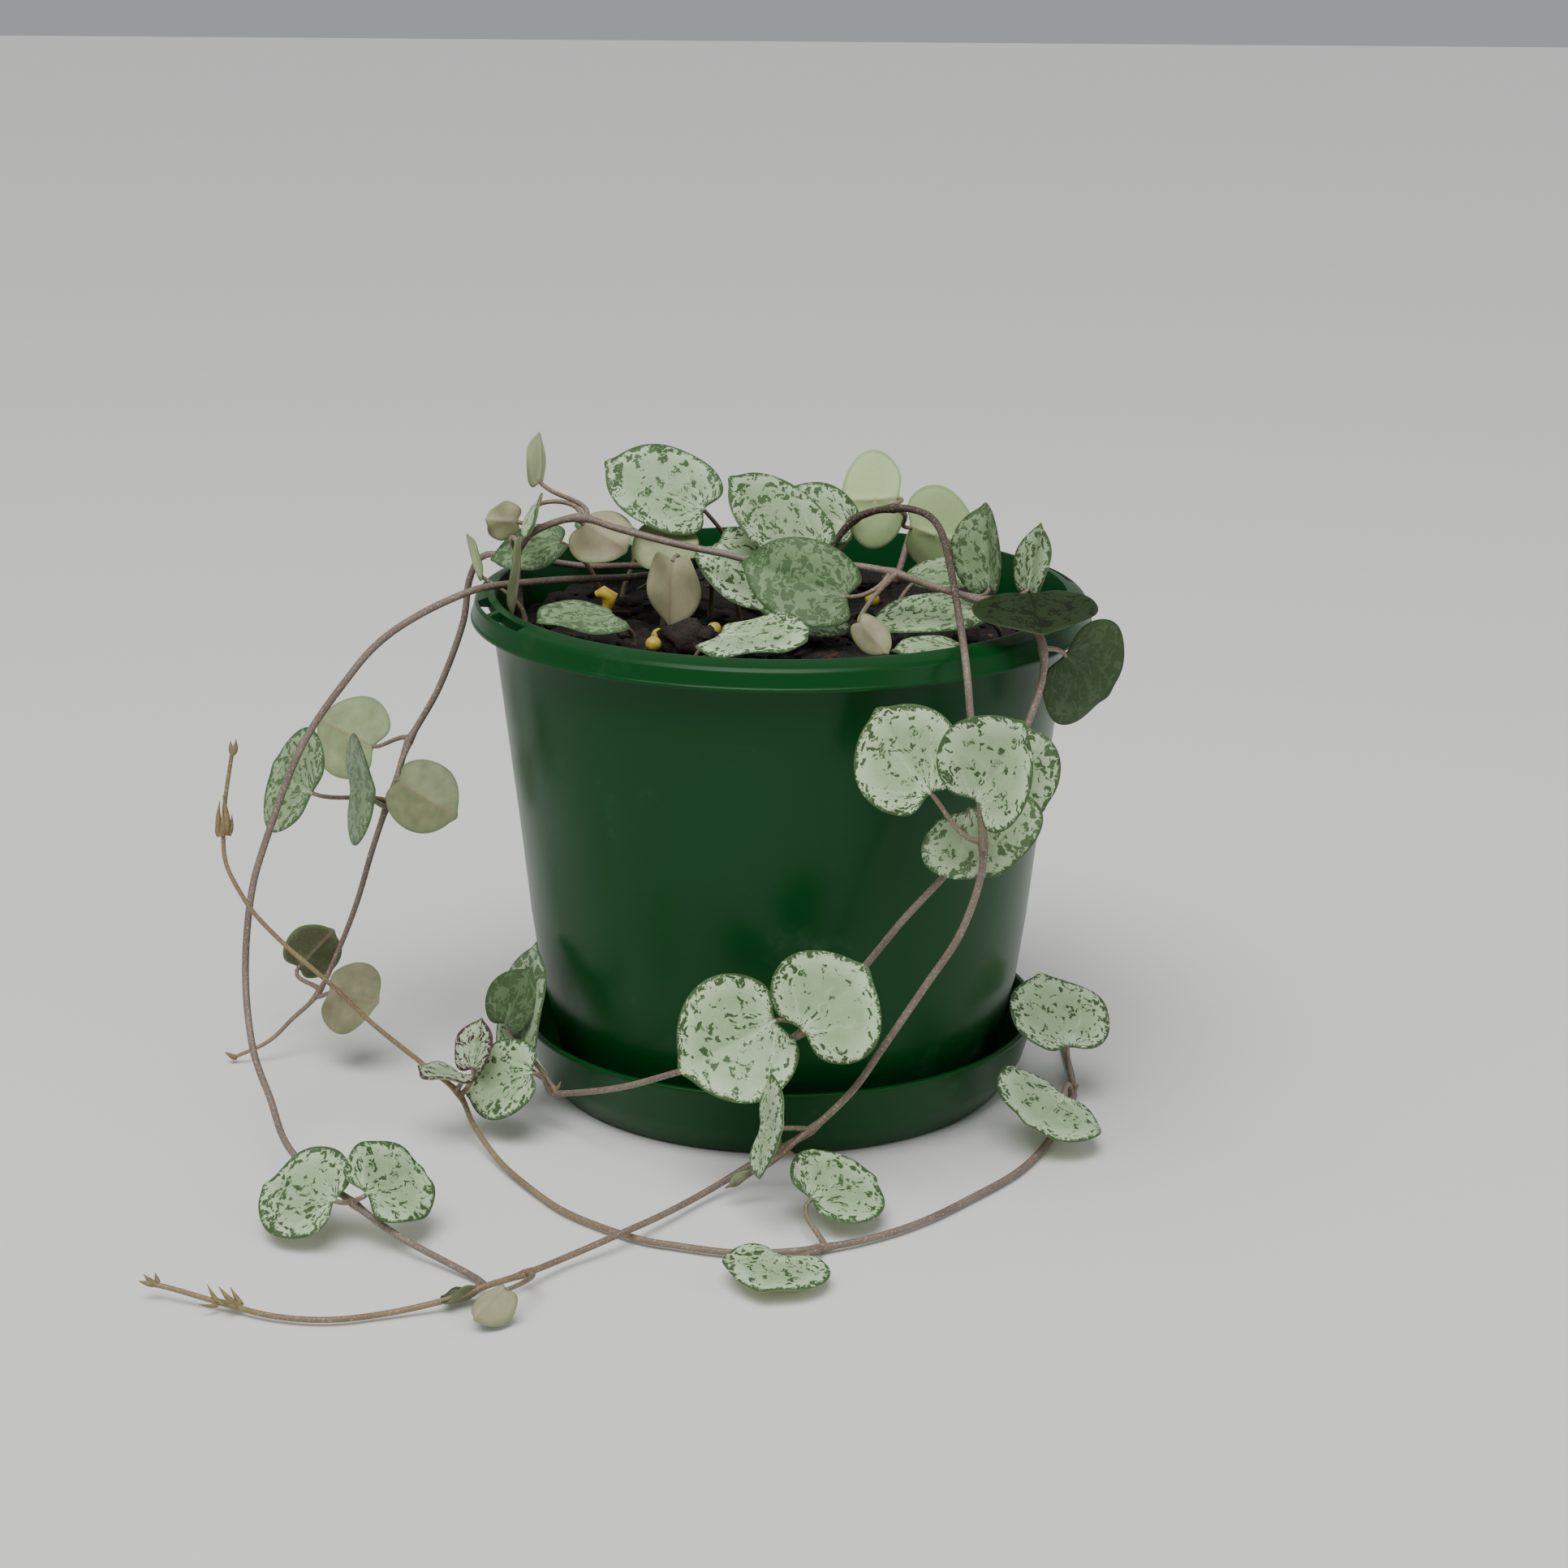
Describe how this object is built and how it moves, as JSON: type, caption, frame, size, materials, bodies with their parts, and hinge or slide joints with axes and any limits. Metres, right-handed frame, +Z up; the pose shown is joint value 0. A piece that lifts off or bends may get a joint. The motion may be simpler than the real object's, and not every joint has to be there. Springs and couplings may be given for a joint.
{
  "type": "potted string of hearts",
  "caption": "Trailing plant with mottled heart-shaped leaves in a round plastic hanging pot that stands on its own saucer.",
  "frame": {"origin": "centre of the saucer's flat underside, on the table", "axes": "+Z up, -Y the front that faces the viewer, +X to the viewer's right"},
  "size_m": [0.1755, 0.1823, 0.1282],
  "materials": {
    "green_plastic": "moulded, satin gloss, dark bottle green",
    "potting_mix": "loose bark and peat, dark brown",
    "stem": "mauve-brown skin with fine pale specks",
    "leaf_mottled": "waxy, silver-green marbled with dark green flecks",
    "leaf_dark": "waxy, dark green with thin silver veins",
    "leaf_young": "waxy, pale olive to purple, thin"
  },
  "bodies": {
    "root": {"leaf_a1": "leaf_mottled", "leaf_a2": "leaf_mottled", "leaf_b1": "leaf_mottled", "leaf_b2": "leaf_mottled", "leaf_b3": "leaf_mottled", "leaf_b4": "leaf_mottled", "leaf_b5": "leaf_mottled", "leaf_b6": "leaf_mottled", "leaf_b7": "leaf_young", "leaf_c1": "leaf_mottled", "leaf_c10": "leaf_mottled", "leaf_c11": "leaf_mottled", "leaf_c12": "leaf_young", "leaf_c13": "leaf_mottled", "leaf_c14": "leaf_mottled", "leaf_c15": "leaf_mottled", "leaf_c16": "leaf_mottled", "leaf_c17": "leaf_mottled", "leaf_c2": "leaf_mottled", "leaf_c3": "leaf_mottled", "leaf_c4": "leaf_mottled", "leaf_c5": "leaf_mottled", "leaf_c6": "leaf_mottled", "leaf_c7": "leaf_dark", "leaf_c8": "leaf_dark", "leaf_c9": "leaf_mottled", "leaf_d1": "leaf_mottled", "leaf_d2": "leaf_mottled", "leaf_d3": "leaf_mottled", "leaf_d4": "leaf_mottled", "leaf_d5": "leaf_young", "leaf_d6": "leaf_young", "leaf_e1": "leaf_mottled", "leaf_e2": "leaf_mottled", "leaf_e3": "leaf_mottled", "leaf_e4": "leaf_mottled", "leaf_e5": "leaf_mottled", "leaf_e6": "leaf_mottled", "leaf_p1": "leaf_mottled", "leaf_p10": "leaf_mottled", "leaf_p11": "leaf_mottled", "leaf_p2": "leaf_mottled", "leaf_p3": "leaf_mottled", "leaf_p4": "leaf_mottled", "leaf_p5": "leaf_mottled", "leaf_p6": "leaf_mottled", "leaf_p7": "leaf_mottled", "leaf_p8": "leaf_mottled", "leaf_p9": "leaf_mottled", "pot": "green_plastic", "potting_mix": "potting_mix", "saucer": "green_plastic", "vine_a": "stem", "vine_b": "stem", "vine_c": "stem", "vine_d": "stem", "vine_e": "stem"}
  },
  "joints": []
}
